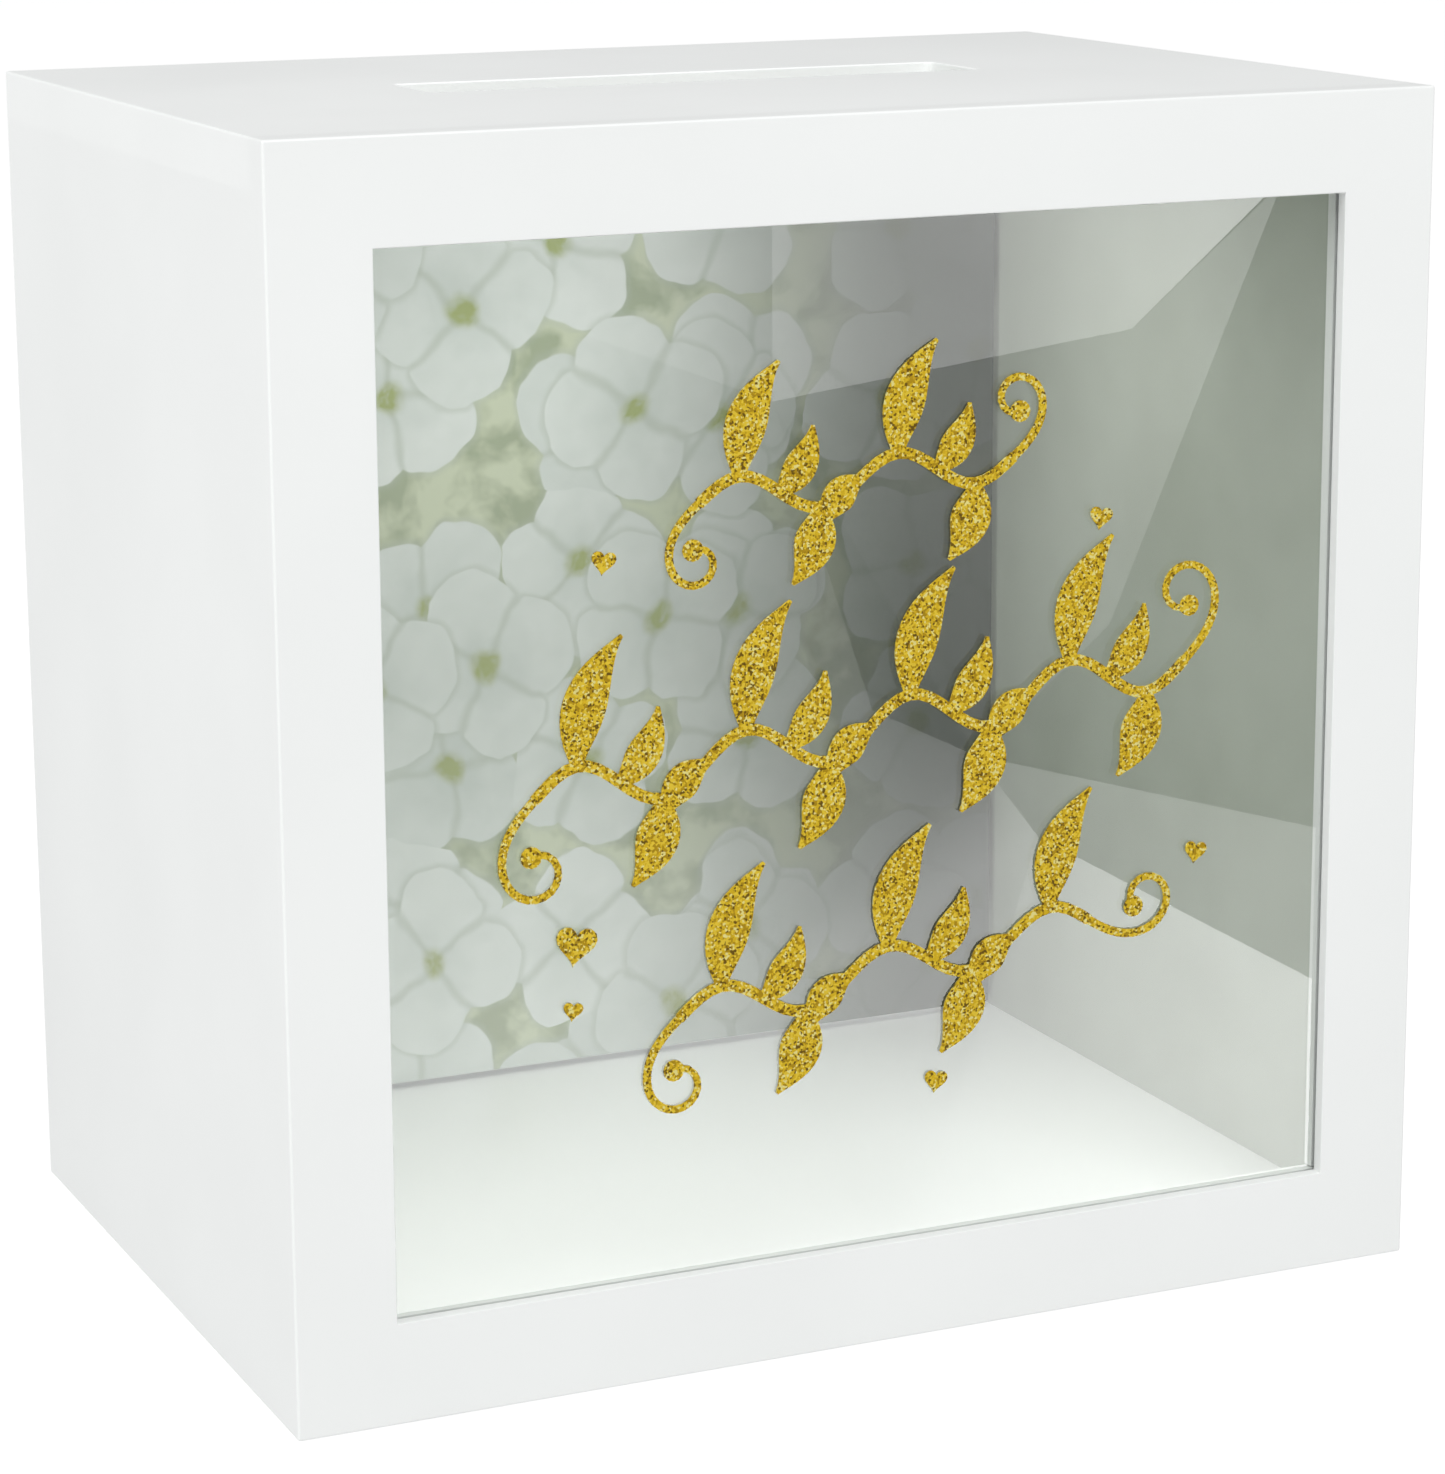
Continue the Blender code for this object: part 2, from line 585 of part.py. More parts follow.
def heart(middle, size, tilt):
    """A heart outline from the usual sine formula."""
    outline = []
    for i in range(24):
        t = 2 * math.pi * i / 24
        x = 16 * math.sin(t) ** 3
        y = 13 * math.cos(t) - 5 * math.cos(2 * t) - 2 * math.cos(3 * t) - math.cos(4 * t)
        outline.append(Vector(middle) + Matrix.Rotation(tilt, 2) @ Vector((x, y)) * size / 32)
    return [outline]


def add_film(name, outlines):
    """Gold film on the glass: the outlines merged into one flat shape and given a thickness."""
    points, faces = [], []
    for outline in outlines:
        faces.append(list(range(len(points), len(points) + len(outline))))
        points.extend(outline)
    flat_points, _, flat_faces, *_ = delaunay_2d_cdt(points, [], faces, 1, 1e-6)
    scale = min(2 * WINDOW_HALF_X, WINDOW_HIGH - WINDOW_LOW) / ORNAMENT_WINDOW
    bm = bmesh.new()
    verts = [bm.verts.new((p.x * scale, 0, p.y * scale)) for p in flat_points]
    for face in flat_faces:
        bm.faces.new([verts[i] for i in face])
    bmesh.ops.delete(bm, geom=[v for v in bm.verts if not v.link_faces], context="VERTS")
    bmesh.ops.dissolve_limit(bm, angle_limit=0.001, verts=bm.verts, edges=bm.edges)
    raised = bmesh.ops.extrude_face_region(bm, geom=bm.faces[:])["geom"]
    raised = [v for v in raised if isinstance(v, bmesh.types.BMVert)]
    bmesh.ops.translate(bm, verts=raised, vec=(0, -FILM_THICK, 0))
    bmesh.ops.recalc_face_normals(bm, faces=bm.faces)
    place = (0, GLASS_Y - FIT, (WINDOW_LOW + WINDOW_HIGH) / 2)
    add_piece(name, bm, GOLD_FILM, place)


def make_ornament():
    """Three rising vines and small hearts, measured from the window's middle."""
    add_film("gold_vine_top", vine(-0.046, 0.036, 0.064, 0.06, 0.005, 4, 0.029, 0.0115, 0.0062))
    add_film("gold_vine_middle", vine(-0.088, 0.084, 0.004, 0.10, 0.006, 8, 0.033, 0.012, 0.0076))
    add_film("gold_vine_bottom", vine(-0.052, 0.058, -0.056, 0.10, 0.0055, 5, 0.032, 0.012, 0.0072))
    tilt = math.radians(-10)
    for name, middle, size in (
        ("gold_heart_top_left", (-0.070, 0.0500), 0.0062),
        ("gold_heart_top_right", (0.060, 0.0500), 0.0062),
        ("gold_heart_right", (0.0880, -0.0364), 0.0062),
        ("gold_heart_bottom", (0.0161, -0.0860), 0.0062),
        ("gold_heart_left_large", (-0.0780, -0.0400), 0.0105),
        ("gold_heart_left_small", (-0.0790, -0.0560), 0.0050),
    ):
        add_film(name, heart(middle, size, tilt))


door_pivot = bpy.data.objects.new("door_pivot", None)
door_pivot.location = (HINGE_X, HINGE_Y, MIDDLE_Z)
parts.objects.link(door_pivot)
boards = make_carcass()
make_glazing()
door, card = make_door(door_pivot)
for level, middle_z in HINGE_HEIGHTS.items():
    make_hinge(level, middle_z, boards["right_side"], door, door_pivot)
make_catch(boards["left_side"], door, card, door_pivot)
make_pads()
make_ornament()
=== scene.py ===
import json
import math

import bmesh
import bpy
from mathutils import Matrix, Vector


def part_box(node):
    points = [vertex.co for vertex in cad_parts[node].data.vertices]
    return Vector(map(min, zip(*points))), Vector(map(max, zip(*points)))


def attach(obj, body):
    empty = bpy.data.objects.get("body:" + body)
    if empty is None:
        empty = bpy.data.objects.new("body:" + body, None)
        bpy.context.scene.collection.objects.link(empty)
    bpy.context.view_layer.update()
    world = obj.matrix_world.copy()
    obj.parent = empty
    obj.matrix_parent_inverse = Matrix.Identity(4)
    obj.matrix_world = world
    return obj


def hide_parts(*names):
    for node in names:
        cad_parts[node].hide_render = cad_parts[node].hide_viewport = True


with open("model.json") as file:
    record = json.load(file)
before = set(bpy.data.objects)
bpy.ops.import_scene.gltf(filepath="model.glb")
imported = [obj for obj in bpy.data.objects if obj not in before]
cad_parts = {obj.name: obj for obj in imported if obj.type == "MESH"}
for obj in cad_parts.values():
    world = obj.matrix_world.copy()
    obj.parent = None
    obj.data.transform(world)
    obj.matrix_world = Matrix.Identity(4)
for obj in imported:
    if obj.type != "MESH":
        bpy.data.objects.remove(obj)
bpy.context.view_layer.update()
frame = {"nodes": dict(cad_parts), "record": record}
print("frame loaded:", len(frame["nodes"]), "nodes")

mm = 0.001
touching = 0.01 * mm  # points nearer than this are taken as one

# places taken from the frame
frontLow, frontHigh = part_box("front_frame")
topLow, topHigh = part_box("top_board")
glassLow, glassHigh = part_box("glass_pane")
doorLow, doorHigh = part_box("back_door")
boxLow = Vector(frontLow)  # the box without knob, hinges and pads
boxHigh = Vector((frontHigh.x, topHigh.y, frontHigh.z))
boxHeight = boxHigh.z - boxLow.z
paneMiddle = (glassLow + glassHigh) / 2
seamGap = topLow.y - frontHigh.y  # the frame's solids stand this far apart where the real ones touch


def hexColour(code):
    # sRGB hex to the linear values that shaders take
    shares = [int(code[i : i + 2], 16) / 255 for i in (1, 3, 5)]
    return tuple(c / 12.92 if c <= 0.04045 else ((c + 0.055) / 1.055) ** 2.4 for c in shares) + (1.0,)


def addNode(tree, kind, settings=None, inputs=None):
    # one node with its settings; an input is a number, a colour or another node's output
    node = tree.nodes.new(kind)
    for name, value in (settings or {}).items():
        setattr(node, name, value)
    for name, value in (inputs or {}).items():
        if isinstance(value, bpy.types.NodeSocket):
            tree.links.new(value, node.inputs[name])
        else:
            node.inputs[name].default_value = value
    return node


def setRamp(node, stops, interpolation="LINEAR"):
    ramp = node.color_ramp
    ramp.interpolation = interpolation
    while len(ramp.elements) < len(stops):
        ramp.elements.new(1.0)
    for element, (position, colour) in zip(ramp.elements, stops):
        element.position = position
        element.color = colour


def newMaterial(name):
    material = bpy.data.materials.new(name)
    material.use_nodes = True
    tree = material.node_tree
    return material, tree, tree.nodes["Principled BSDF"]


lacquerSettings = {
    "colour": "#F3F5F4",
    "shade": "#F1F3F2",
    "rippleSize": 3 * mm,
    "driftSize": 70 * mm,
    "ripple": 0.02,
    "rippleHeight": 0.1 * mm,
    "roughness": (0.30, 0.38),
}


def makeLacquer():
    # satin polyurethane lacquer sprayed on MDF: an even white film with a faint orange-peel ripple
    settings = lacquerSettings
    material, tree, shader = newMaterial("satin white lacquer")
    place = addNode(tree, "ShaderNodeTexCoord").outputs["Object"]
    drift = addNode(
        tree,
        "ShaderNodeTexNoise",
        None,
        {"Vector": place, "Scale": 1 / settings["driftSize"], "Detail": 3.0},
    )
    tone = addNode(tree, "ShaderNodeValToRGB", None, {"Fac": drift.outputs["Fac"]})
    setRamp(tone, [(0.35, hexColour(settings["shade"])), (0.65, hexColour(settings["colour"]))])
    tree.links.new(tone.outputs["Color"], shader.inputs["Base Color"])
    low, high = settings["roughness"]
    rough = addNode(
        tree, "ShaderNodeMapRange", None, {"Value": drift.outputs["Fac"], "To Min": low, "To Max": high}
    )
    tree.links.new(rough.outputs["Result"], shader.inputs["Roughness"])
    peel = addNode(
        tree,
        "ShaderNodeTexNoise",
        None,
        {"Vector": place, "Scale": 1 / settings["rippleSize"], "Detail": 2.0},
    )
    bump = addNode(
        tree,
        "ShaderNodeBump",
        None,
        {
            "Height": peel.outputs["Fac"],
            "Strength": settings["ripple"],
            "Distance": settings["rippleHeight"],
        },
    )
    tree.links.new(bump.outputs["Normal"], shader.inputs["Normal"])
    return material


shadedWallSettings = {"light": "#BDC4B8", "dark": "#B3BAAD", "patch": 40 * mm, "roughness": 0.6}


def makeShadedWall():
    # painted shade on the inner walls: the same white paint, coloured matt pale grey-green and a shade darker
    # than the lacquer because the inside lies in shade
    settings = shadedWallSettings
    material, tree, shader = newMaterial("inner wall white in painted shade")
    place = addNode(tree, "ShaderNodeTexCoord").outputs["Object"]
    patches = addNode(
        tree,
        "ShaderNodeTexNoise",
        None,
        {"Vector": place, "Scale": 1 / settings["patch"], "Detail": 4.0},
    )
    tone = addNode(tree, "ShaderNodeValToRGB", None, {"Fac": patches.outputs["Fac"]})
    setRamp(tone, [(0.35, hexColour(settings["dark"])), (0.65, hexColour(settings["light"]))])
    tree.links.new(tone.outputs["Color"], shader.inputs["Base Color"])
    shader.inputs["Roughness"].default_value = settings["roughness"]
    return material


glassSettings = {"tint": "#F4F5F4", "shadowTint": "#F4F5F4", "ior": 1.52}


def makePaneGlass():
    # clear soda-lime float glass: mirror-smooth and almost colourless; lamps shine through to the inside
    settings = glassSettings
    material, tree, shader = newMaterial("clear float glass")
    shader.inputs["Base Color"].default_value = hexColour(settings["tint"])
    shader.inputs["Roughness"].default_value = 0.0
    shader.inputs["IOR"].default_value = settings["ior"]
    shader.inputs["Transmission Weight"].default_value = 1.0
    clear = addNode(tree, "ShaderNodeBsdfTransparent", None, {"Color": hexColour(settings["shadowTint"])})
    path = addNode(tree, "ShaderNodeLightPath")
    mix = addNode(
        tree,
        "ShaderNodeMixShader",
        None,
        {0: path.outputs["Is Shadow Ray"], 1: shader.outputs["BSDF"], 2: clear.outputs["BSDF"]},
    )
    tree.links.new(mix.outputs["Shader"], tree.nodes["Material Output"].inputs["Surface"])
    return material


printSettings = {
    "petal": "#F1F6F3",
    "petalShade": "#D9E1DC",
    "crease": "#BFC9BB",
    "gap": "#D9E1C5",
    "gapDark": "#ABB797",
    "heart": "#ABB770",
    "petalAcross": 28 * mm,
    "warp": 9 * mm,
    "ruffleSize": 8 * mm,
    "ruffle": 3 * mm,
    "shadowReach": 1.16,  # in petal radii, as the next three are
    "depthReach": 1.3,
    "heartCore": 0.08,
    "heartReach": 0.42,
    "creaseWide": 2.2 * mm,
    "mottleSize": 7 * mm,
    "fuzzSize": 2.5 * mm,
    "leafSize": 14 * mm,
    "fibreSize": 0.5 * mm,
    "fibreHeight": 0.05 * mm,
    "roughness": 0.55,
    "paintedShadeColour": "#384136",
    # painted shade: the print's colour darkens towards its right-hand side and its top, along an axis: from,
    # to, and how far it goes
    "shades": [("X", -10 * mm, 125 * mm, 0.9), ("Z", 190 * mm, 290 * mm, 0.4)],
    # each layer: spacing in petals, shift, randomness, and how far a petal is from the floret's middle
    "layers": [(1.75, 0, 0.3, 0.62), (2.7, 47 * mm, 0.6, 0.66), (3.1, 90 * mm, 0.7, 0.64)],
}


def layFlorets(tree, under, ground, spacing, shift, randomness, apartShare):
    # one layer of four-petalled florets, drawn over the colour that lies under it
    settings = printSettings
    radius = settings["petalAcross"] / 2
    apart = radius * apartShare
    smooth = {"interpolation_type": "SMOOTHSTEP"}
    moved = addNode(
        tree,
        "ShaderNodeVectorMath",
        {"operation": "ADD"},
        {0: ground, 1: (shift, shift * 0.7, 0)},
    ).outputs["Vector"]
    cells = addNode(
        tree,
        "ShaderNodeTexVoronoi",
        {"voronoi_dimensions": "2D"},
        {"Vector": moved, "Scale": 1 / (settings["petalAcross"] * spacing), "Randomness": randomness},
    )
    own = addNode(tree, "ShaderNodeSeparateColor", None, {"Color": cells.outputs["Color"]})
    spin = addNode(
        tree,
        "ShaderNodeMath",
        {"operation": "MULTIPLY"},
        {0: own.outputs["Green"], 1: 2 * math.pi},
    )
    local = addNode(
        tree,
        "ShaderNodeVectorMath",
        {"operation": "SUBTRACT"},
        {0: moved, 1: cells.outputs["Position"]},
    )
    flat = addNode(
        tree,
        "ShaderNodeVectorMath",
        {"operation": "MULTIPLY"},
        {0: local.outputs["Vector"], 1: (1, 1, 0)},
    ).outputs["Vector"]
    fromHeart = addNode(tree, "ShaderNodeVectorMath", {"operation": "LENGTH"}, {0: flat}).outputs["Value"]
    turned = addNode(
        tree,
        "ShaderNodeVectorRotate",
        {"rotation_type": "Z_AXIS"},
        {"Vector": flat, "Angle": spin.outputs["Value"]},
    )
    # the four petals are one petal mirrored on both axes
    folded = addNode(tree, "ShaderNodeVectorMath", {"operation": "ABSOLUTE"}, {0: turned.outputs["Vector"]})
    toPetal = addNode(
        tree,
        "ShaderNodeVectorMath",
        {"operation": "SUBTRACT"},
        {0: folded.outputs["Vector"], 1: (apart, apart, 0)},
    )
    fromPetal = addNode(
        tree,
        "ShaderNodeVectorMath",
        {"operation": "LENGTH"},
        {0: toPetal.outputs["Vector"]},
    ).outputs["Value"]
    # soft shadow round the floret
    reach = radius * settings["shadowReach"]
    shadow = addNode(
        tree,
        "ShaderNodeMapRange",
        smooth,
        {"Value": fromPetal, "From Min": radius, "From Max": reach, "To Min": 0.4, "To Max": 0.0},
    )
    shaded = addNode(
        tree,
        "ShaderNodeMix",
        {"data_type": "RGBA"},
        {"Factor": shadow.outputs["Result"], 6: under, 7: hexColour(settings["crease"])},
    )
    # each floret has its own tone, a little darker towards its heart and mottled
    reach = radius * settings["depthReach"]
    depth = addNode(
        tree,
        "ShaderNodeMapRange",
        smooth,
        {"Value": fromHeart, "From Min": 0.0, "From Max": reach, "To Min": 0.4, "To Max": 0.0},
    )
    level = addNode(
        tree,
        "ShaderNodeMath",
        {"operation": "MULTIPLY_ADD"},
        {0: own.outputs["Red"], 1: 0.45, 2: depth.outputs["Result"]},
    )
    mottle = addNode(
        tree,
        "ShaderNodeTexNoise",
        None,
        {"Vector": ground, "Scale": 1 / settings["mottleSize"], "Detail": 4.0},
    )
    level = addNode(
        tree,
        "ShaderNodeMath",
        {"operation": "MULTIPLY_ADD"},
        {0: mottle.outputs["Fac"], 1: 0.6, 2: level.outputs["Value"]},
    )
    petal = addNode(tree, "ShaderNodeValToRGB", None, {"Fac": level.outputs["Value"]})
    setRamp(petal, [(0.25, hexColour(settings["petal"])), (1.0, hexColour(settings["petalShade"]))])
    # a soft crease where one petal of the floret lies over the next
    sides = addNode(tree, "ShaderNodeSeparateXYZ", None, {"Vector": folded.outputs["Vector"]})
    nearest = addNode(
        tree,
        "ShaderNodeMath",
        {"operation": "MINIMUM"},
        {0: sides.outputs["X"], 1: sides.outputs["Y"]},
    )
    wide = settings["creaseWide"]
    crease = addNode(
        tree,
        "ShaderNodeMapRange",
        smooth,
        {"Value": nearest.outputs["Value"], "From Min": 0.0, "From Max": wide, "To Min": 0.5, "To Max": 0.0},
    )
    creased = addNode(
        tree,
        "ShaderNodeMix",
        {"data_type": "RGBA"},
        {"Factor": crease.outputs["Result"], 6: petal.outputs["Color"], 7: hexColour(settings["crease"])},
    )
    # the petal's rim is a little soft, as print is
    low, high = radius * 0.96, radius * 1.01
    inPetal = addNode(
        tree,
        "ShaderNodeMapRange",
        smooth,
        {"Value": fromPetal, "From Min": low, "From Max": high, "To Min": 1.0, "To Max": 0.0},
    )
    drawn = addNode(
        tree,
        "ShaderNodeMix",
        {"data_type": "RGBA"},
        {"Factor": inPetal.outputs["Result"], 6: shaded.outputs[2], 7: creased.outputs[2]},
    )
    # fuzzy green heart where the four petals meet
    fuzz = addNode(
        tree,
        "ShaderNodeTexNoise",
        None,
        {"Vector": ground, "Scale": 1 / settings["fuzzSize"], "Detail": 3.0},
    )
    low, high = radius * settings["heartCore"], radius * settings["heartReach"]
    heart = addNode(
        tree,
        "ShaderNodeMapRange",
        smooth,
        {"Value": fromHeart, "From Min": low, "From Max": high, "To Min": 2.1, "To Max": 0.0},
    )
    heart = addNode(
        tree,
        "ShaderNodeMath",
        {"operation": "MULTIPLY"},
        {0: heart.outputs["Result"], 1: fuzz.outputs["Fac"]},
    )
    return addNode(
        tree,
        "ShaderNodeMix",
        {"data_type": "RGBA"},
        {"Factor": heart.outputs["Value"], 6: drawn.outputs[2], 7: hexColour(settings["heart"])},
    ).outputs[2]


def makePrint():
    # litho print on matt card: overlapping white florets of four round petals, sage gaps, green hearts
    settings = printSettings
    material, tree, shader = newMaterial("hydrangea print on card")
    place = addNode(tree, "ShaderNodeTexCoord").outputs["Object"]
    # the card stands upright, so its height is turned to the pattern's second axis
    ground = addNode(
        tree,
        "ShaderNodeMapping",
        None,
        {"Vector": place, "Rotation": (-math.pi / 2, 0, 0)},
    ).outputs["Vector"]
    # the outlines wander, first widely and then in small ruffles
    wide = (settings["petalAcross"] * 0.9, settings["warp"])
    small = (settings["ruffleSize"], settings["ruffle"])
    for size, amount in (wide, small):
        noise = addNode(
            tree,
            "ShaderNodeTexNoise",
            None,
            {"Vector": ground, "Scale": 1 / size, "Detail": 1.0},
        )
        centred = addNode(
            tree,
            "ShaderNodeVectorMath",
            {"operation": "SUBTRACT"},
            {0: noise.outputs["Color"], 1: (0.5, 0.5, 0.5)},
        )
        push = addNode(
            tree,
            "ShaderNodeVectorMath",
            {"operation": "SCALE"},
            {0: centred.outputs["Vector"], "Scale": amount},
        )
        ground = addNode(
            tree,
            "ShaderNodeVectorMath",
            {"operation": "ADD"},
            {0: ground, 1: push.outputs["Vector"]},
        ).outputs["Vector"]
    leaves = addNode(
        tree,
        "ShaderNodeTexNoise",
        None,
        {"Vector": ground, "Scale": 1 / settings["leafSize"], "Detail": 3.0},
    )
    tone = addNode(tree, "ShaderNodeValToRGB", None, {"Fac": leaves.outputs["Fac"]})
    setRamp(tone, [(0.40, hexColour(settings["gapDark"])), (0.56, hexColour(settings["gap"]))])
    colour = tone.outputs["Color"]
    for layer in settings["layers"]:
        colour = layFlorets(tree, colour, ground, *layer)
    # painted shade laid over the print, darker along each axis in turn
    axis = addNode(tree, "ShaderNodeSeparateXYZ", None, {"Vector": place})
    for side, start, end, share in settings["shades"]:
        shade = addNode(
            tree,
            "ShaderNodeMapRange",
            {"interpolation_type": "SMOOTHSTEP"},
            {"Value": axis.outputs[side], "From Min": start, "From Max": end, "To Min": 0.0, "To Max": share},
        )
        colour = addNode(
            tree,
            "ShaderNodeMix",
            {"data_type": "RGBA"},
            {"Factor": shade.outputs["Result"], 6: colour, 7: hexColour(settings["paintedShadeColour"])},
        ).outputs[2]
    tree.links.new(colour, shader.inputs["Base Color"])
    shader.inputs["Roughness"].default_value = settings["roughness"]
    # card fibre, drawn coarser than it is
    grain = addNode(
        tree,
        "ShaderNodeTexNoise",
        None,
        {"Vector": place, "Scale": 1 / settings["fibreSize"], "Detail": 3.0},
    )
    bump = addNode(
        tree,
        "ShaderNodeBump",
        None,
        {"Height": grain.outputs["Fac"], "Strength": 0.1, "Distance": settings["fibreHeight"]},
    )
    tree.links.new(bump.outputs["Normal"], shader.inputs["Normal"])
    return material


glitterSettings = {
    # where each shade starts, as a share of the flakes; the last and palest shade is a painted glint
    "shades": [(0.0, "#765A0A"), (0.12, "#BE9812"), (0.34, "#E6C020"), (0.60, "#F8D73C"), (0.86, "#FFF39A")],
    "flake": 0.55 * mm,
    "tilt": 0.55,
    "roughness": 0.38,
    "metallic": 0.55,
}


def makeGlitter():
    # gold polyester glitter film: hexagonal flakes set at all angles, some bright and some dark; the palest
    # flakes are painted glints
    # the flakes are drawn at 0.55 mm, about twice their real size, so that they show
    settings = glitterSettings
    material, tree, shader = newMaterial("gold glitter film")
    place = addNode(tree, "ShaderNodeTexCoord").outputs["Object"]
    flakes = addNode(tree, "ShaderNodeTexVoronoi", None, {"Vector": place, "Scale": 1 / settings["flake"]})
    parts = addNode(tree, "ShaderNodeSeparateColor", None, {"Color": flakes.outputs["Color"]})
    tone = addNode(tree, "ShaderNodeValToRGB", None, {"Fac": parts.outputs["Red"]})
    setRamp(tone, [(at, hexColour(code)) for at, code in settings["shades"]], "CONSTANT")
    tree.links.new(tone.outputs["Color"], shader.inputs["Base Color"])
    lean = addNode(
        tree,
        "ShaderNodeVectorMath",
        {"operation": "SUBTRACT"},
        {0: flakes.outputs["Color"], 1: (0.5, 0.5, 0.5)},
    )
    lean = addNode(
        tree,
        "ShaderNodeVectorMath",
        {"operation": "SCALE"},
        {0: lean.outputs["Vector"], "Scale": settings["tilt"]},
    )
    surface = addNode(tree, "ShaderNodeNewGeometry")
    facing = addNode(
        tree,
        "ShaderNodeVectorMath",
        {"operation": "ADD"},
        {0: surface.outputs["Normal"], 1: lean.outputs["Vector"]},
    )
    facing = addNode(tree, "ShaderNodeVectorMath", {"operation": "NORMALIZE"}, {0: facing.outputs["Vector"]})
    tree.links.new(facing.outputs["Vector"], shader.inputs["Normal"])
    shader.inputs["Metallic"].default_value = settings["metallic"]
    shader.inputs["Roughness"].default_value = settings["roughness"]
    return material


plateSettings = {
    "colour": "#CFCBC3",
    "dull": "#B4B0A8",
    "roughness": (0.22, 0.36),
    "lines": 0.25 * mm,
    "drawnOut": (1.0, 1.0, 0.04),  # along Z the lines are 25 times as long as they are wide
}


def makeNickelPlate():
    # satin nickel plate on pressed steel: a warm grey metal with fine drawn lines along the part
    settings = plateSettings
    material, tree, shader = newMaterial("satin nickel plate")
    place = addNode(tree, "ShaderNodeTexCoord").outputs["Object"]
    drawn = addNode(tree, "ShaderNodeMapping", None, {"Vector": place, "Scale": settings["drawnOut"]})
    lines = addNode(
        tree,
        "ShaderNodeTexNoise",
        None,
        {"Vector": drawn.outputs["Vector"], "Scale": 1 / settings["lines"], "Detail": 3.0},
    )
    tone = addNode(tree, "ShaderNodeValToRGB", None, {"Fac": lines.outputs["Fac"]})
    setRamp(tone, [(0.3, hexColour(settings["dull"])), (0.7, hexColour(settings["colour"]))])
    tree.links.new(tone.outputs["Color"], shader.inputs["Base Color"])
    low, high = settings["roughness"]
    rough = addNode(
        tree, "ShaderNodeMapRange", None, {"Value": lines.outputs["Fac"], "To Min": low, "To Max": high}
    )
    tree.links.new(rough.outputs["Result"], shader.inputs["Roughness"])
    shader.inputs["Metallic"].default_value = 1.0
    return material


def makeGrained(name, dark, light, grain, roughness, stretch=(1.0, 1.0, 1.0), relief=0.2):
    # a dull solid colour with a grain of its own: plastic, ferrite, felt or bare wood
    material, tree, shader = newMaterial(name)
    place = addNode(tree, "ShaderNodeTexCoord").outputs["Object"]
    drawn = addNode(tree, "ShaderNodeMapping", None, {"Vector": place, "Scale": stretch})
    noise = addNode(
        tree,
        "ShaderNodeTexNoise",
        None,
        {"Vector": drawn.outputs["Vector"], "Scale": 1 / grain, "Detail": 4.0},
    )
    tone = addNode(tree, "ShaderNodeValToRGB", None, {"Fac": noise.outputs["Fac"]})
    setRamp(tone, [(0.35, hexColour(dark)), (0.65, hexColour(light))])
    tree.links.new(tone.outputs["Color"], shader.inputs["Base Color"])
    shader.inputs["Roughness"].default_value = roughness
    bump = addNode(
        tree,
        "ShaderNodeBump",
        None,
        {"Height": noise.outputs["Fac"], "Strength": relief, "Distance": 0.1 * mm},
    )
    tree.links.new(bump.outputs["Normal"], shader.inputs["Normal"])
    return material


lacquer = makeLacquer()
shadedWall = makeShadedWall()
paneGlass = makePaneGlass()
hydrangeaPrint = makePrint()
glitter = makeGlitter()
nickelPlate = makeNickelPlate()
# polypropylene, injection moulded with a fine spark texture: soft off-white
catchPlastic = makeGrained("moulded polypropylene", "#DEDDD8", "#E8E7E3", 0.4 * mm, 0.45)
# sintered ferrite: near-black, slightly gritty
ferrite = makeGrained("sintered ferrite", "#2A2A2C", "#3B3B3E", 0.3 * mm, 0.6)
# pressed wool felt: matt, with short fibres standing up
felt = makeGrained("pressed wool felt", "#CFCCC4", "#E3E0D8", 0.5 * mm, 0.95, relief=0.8)
# turned beech: warm, with flecks along the grain
beech = makeGrained("turned beech", "#B98D62", "#D0A679", 0.9 * mm, 0.6, (1.0, 1.0, 0.12))
print("materials made")


def addPiece(name, bm, material, body, replaced, sharpAngle=30):
    # a finished piece: its place is in its mesh, and it rides on a body
    mesh = bpy.data.meshes.new(name)
    bm.to_mesh(mesh)
    bm.free()
    mesh.materials.append(material)
    mesh.shade_smooth()
    mesh.set_sharp_from_angle(angle=math.radians(sharpAngle))
    piece = bpy.data.objects.new(name, mesh)
    bpy.context.scene.collection.objects.link(piece)
    even = piece.modifiers.new("even shading", "WEIGHTED_NORMAL")  # flats stay flat beside rounded edges
    even.keep_sharp = True
    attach(piece, body)
    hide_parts(*replaced)
    return piece


def blockBetween(low, high):
    low, high = Vector(low), Vector(high)
    bm = bmesh.new()
    place = Matrix.Translation((low + high) / 2) @ Matrix.Diagonal((high - low).to_4d())
    bmesh.ops.create_cube(bm, size=1.0, matrix=place)
    return bm


def onBoxEdge(edge, low, high):
    # true for an edge that lies along one of the twelve edges of this box
    held = 0
    for axis in range(3):
        for limit in (low[axis], high[axis]):
            held += all(abs(v.co[axis] - limit) < touching for v in edge.verts)
    return held >= 2


def roundEdges(bm, edges, radius, segments=3):
    bmesh.ops.bevel(
        bm,
        geom=edges,
        offset=radius,
        affect="EDGES",
        segments=segments,
        profile=0.5,
        material=-1,
        clamp_overlap=True,
    )


carcassSettings = {
    "outerRound": 0.7 * mm,
    "windowRound": 0.4 * mm,
    "slotCorner": 2.0 * mm,
    "slotRound": 0.5 * mm,
    "openingMargin": 0.5 * mm,  # the record's opening is this much inside the real slot
    "doorRound": 0.5 * mm,
    "beadRound": 0.3 * mm,
}


